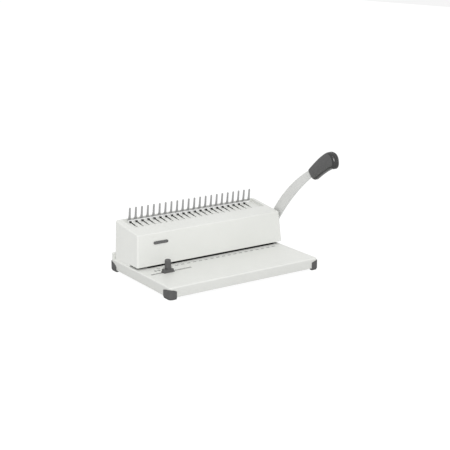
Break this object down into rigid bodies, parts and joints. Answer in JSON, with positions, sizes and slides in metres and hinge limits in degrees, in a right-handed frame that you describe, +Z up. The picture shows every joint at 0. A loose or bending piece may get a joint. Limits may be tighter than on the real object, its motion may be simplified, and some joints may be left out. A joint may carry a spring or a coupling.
{
  "type": "comb binding machine",
  "caption": "Lever-operated desktop punch and binder for plastic combs, with a paper table, sloping cover, finger comb and edge guide.",
  "frame": {"origin": "on the table under the centre of the whole machine's box, with the lever at rest", "axes": "+X to the operator's right along the comb, +Y to the back, +Z up"},
  "size_m": [0.3743, 0.2905, 0.254],
  "materials": {
    "shell_plastic": "warm grey-white moulded shell, fine spark-eroded texture",
    "badge_plastic": "small plain plaque with round ends",
    "foot_rubber": "dark grey moulded corner caps",
    "zinc_sheet": "zinc-plated pressed steel",
    "finger_steel": "satin nickel-plated fingers",
    "dark_steel": "blackened hardened steel",
    "ground_steel": "ground bright steel",
    "bronze_bush": "oiled sintered bronze",
    "rail_nylon": "natural nylon",
    "screw_steel": "plated machine screws",
    "lever_paint": "light grey powder coat",
    "grip_plastic": "dark grey moulded grip with a soft shine",
    "guide_plastic": "dark grey moulded guide and knob",
    "drawer_plastic": "light grey moulded tray"
  },
  "bodies": {
    "housing": {"base_tray": "shell_plastic", "bottom_plate": "zinc_sheet", "foot_front_left": "foot_rubber", "foot_front_right": "foot_rubber", "foot_rear_left": "foot_rubber", "foot_rear_right": "foot_rubber", "main_cover": "shell_plastic", "rear_skirt": "shell_plastic", "front_badge": "badge_plastic", "die_plate": "dark_steel", "back_stop": "ground_steel", "stripper_plate": "dark_steel", "guide_posts": "ground_steel", "side_frame_left": "zinc_sheet", "side_frame_right": "zinc_sheet", "shaft_bush_left": "bronze_bush", "shaft_bush_right": "bronze_bush", "slide_rail_left": "rail_nylon", "slide_rail_right": "rail_nylon", "comb_beam": "zinc_sheet", "finger_comb": "finger_steel", "die_screws": "screw_steel", "cover_screws": "screw_steel", "frame_screws": "screw_steel", "plate_screws": "screw_steel", "comb_screws": "screw_steel", "return_springs": "dark_steel"},
    "lever": {"lever_arm": "lever_paint", "grip_inner": "grip_plastic", "grip_outer": "grip_plastic", "grip_screws": "screw_steel", "lever_bolt": "screw_steel", "lever_washer": "screw_steel", "drive_shaft": "ground_steel", "shaft_clip": "dark_steel", "crank_left": "zinc_sheet", "crank_right": "zinc_sheet", "crank_pins": "ground_steel", "roll_pins": "dark_steel"},
    "punch": {"punch_bar": "zinc_sheet", "punch_pins": "dark_steel", "pin_retainer": "zinc_sheet", "retainer_screws": "screw_steel", "punch_fork_left": "zinc_sheet", "punch_fork_right": "zinc_sheet", "fork_screws": "screw_steel"},
    "opener": {"slide_plate": "dark_steel", "hook_strip": "dark_steel"},
    "edge_guide": {"guide_block": "guide_plastic", "guide_clamp": "screw_steel"},
    "guide_knob": {"guide_knob": "guide_plastic", "guide_screw": "ground_steel"},
    "drawer": {"chip_drawer": "drawer_plastic"}
  },
  "joints": [
    {"name": "lever_swing", "type": "hinge", "parent": "housing", "child": "lever", "pos_m": [0.0008, 0.0785, 0.052], "axis": [1, 0, 0], "range_deg": [0, 42]},
    {"name": "punch_stroke", "type": "slide", "parent": "housing", "child": "punch", "axis": [0, 0, -1], "range_m": [0, 0.0086], "deforming": ["return_springs"]},
    {"name": "opener_stroke", "type": "slide", "parent": "housing", "child": "opener", "axis": [0, -0.9925, -0.1219], "range_m": [0, 0.01935]},
    {"name": "guide_slide", "type": "slide", "parent": "housing", "child": "edge_guide", "axis": [1, 0, 0], "range_m": [-0.028, 0.046]},
    {"name": "knob_turn", "type": "hinge", "parent": "edge_guide", "child": "guide_knob", "pos_m": [-0.137, -0.004, 0.032], "axis": [0, 0, 1], "range_deg": [0, 180]},
    {"name": "drawer_slide", "type": "slide", "parent": "housing", "child": "drawer", "axis": [0, 1, 0], "range_m": [0, 0.08]}
  ],
  "couplings": [
    {"joint": "punch_stroke", "follows": "lever_swing", "m_per_rad": 0.011733},
    {"joint": "opener_stroke", "follows": "lever_swing", "m_per_rad": 0.026399}
  ]
}
